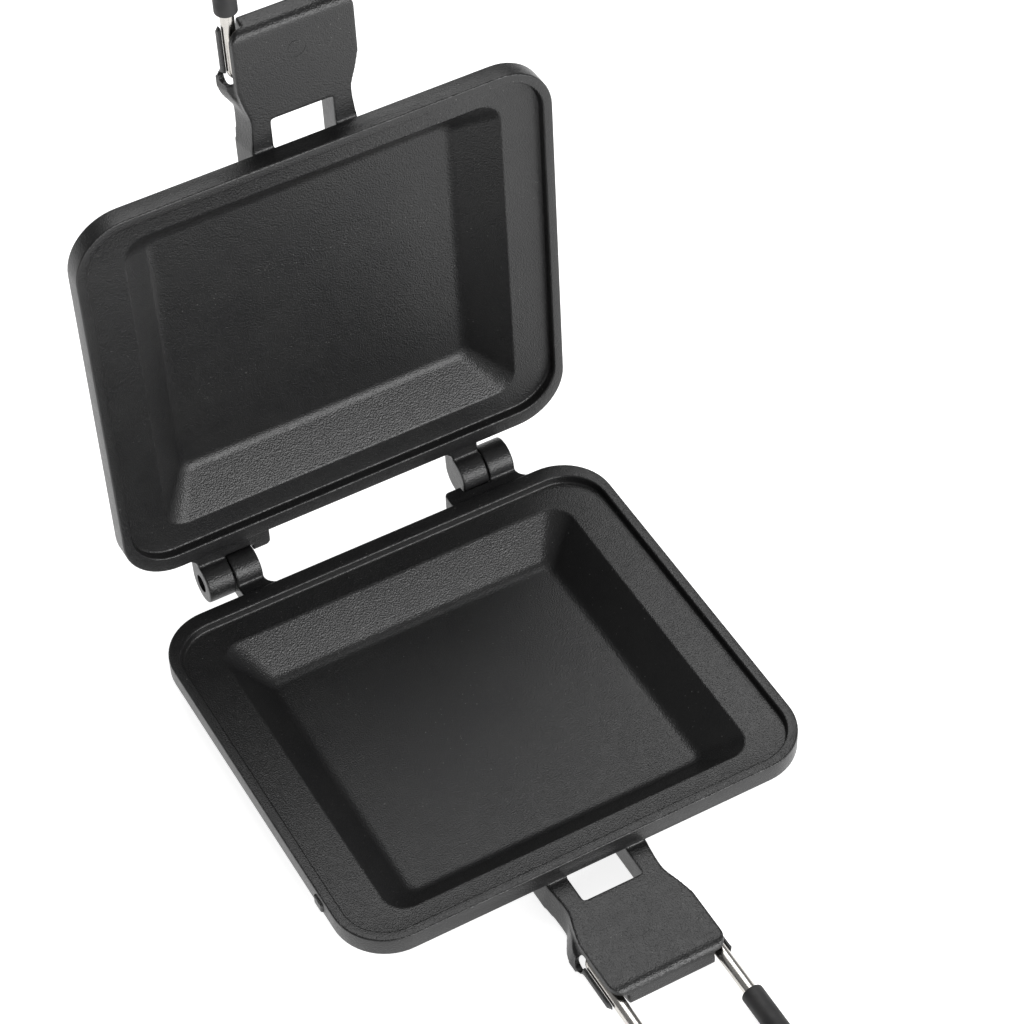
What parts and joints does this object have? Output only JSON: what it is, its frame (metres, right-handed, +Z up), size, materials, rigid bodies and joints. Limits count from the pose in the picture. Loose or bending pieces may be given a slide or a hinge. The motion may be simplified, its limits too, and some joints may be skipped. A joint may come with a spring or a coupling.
{
  "type": "omelette pan",
  "caption": "Square hinged double pan for cooking food between two halves over a flame, each half with a folding wire handle.",
  "frame": {"origin": "centre of the pans' outline on the plane that the lower pan's underside rests on", "axes": "+X to the right along the hinge, -Y from the hinge towards the handles, +Z up out of the lower pan"},
  "size_m": [0.1494, 0.3872, 0.3796],
  "materials": {
    "coated_casting": "die-cast aluminium with a matte black speckled non-stick coating",
    "hinge_steel": "plain drawn steel pin",
    "stainless_wire": "bright drawn stainless wire",
    "grip_sleeve": "matte black heat-resistant sleeve"
  },
  "bodies": {
    "base": {"lower_pan": "coated_casting", "right_hinge_pin": "hinge_steel"},
    "lid": {"upper_pan": "coated_casting", "left_hinge_pin": "hinge_steel"},
    "lower_handle": {"lower_handle_wire": "stainless_wire", "lower_left_grip": "grip_sleeve", "lower_right_grip": "grip_sleeve"},
    "upper_handle": {"upper_handle_wire": "stainless_wire", "upper_left_grip": "grip_sleeve", "upper_right_grip": "grip_sleeve"}
  },
  "joints": [
    {"name": "lid_hinge", "type": "hinge", "parent": "base", "child": "lid", "pos_m": [0, 0.0779, 0.0171], "axis": [1, 0, 0], "range_deg": [0, 91.5]},
    {"name": "lower_handle_fold", "type": "hinge", "parent": "base", "child": "lower_handle", "pos_m": [0, -0.09205, 0.0051], "axis": [1, 0, 0], "range_deg": [0, 130]},
    {"name": "upper_handle_fold", "type": "hinge", "parent": "lid", "child": "upper_handle", "pos_m": [0, 0.09434, 0.18668], "axis": [-1, 0, 0], "range_deg": [0, 130]}
  ]
}
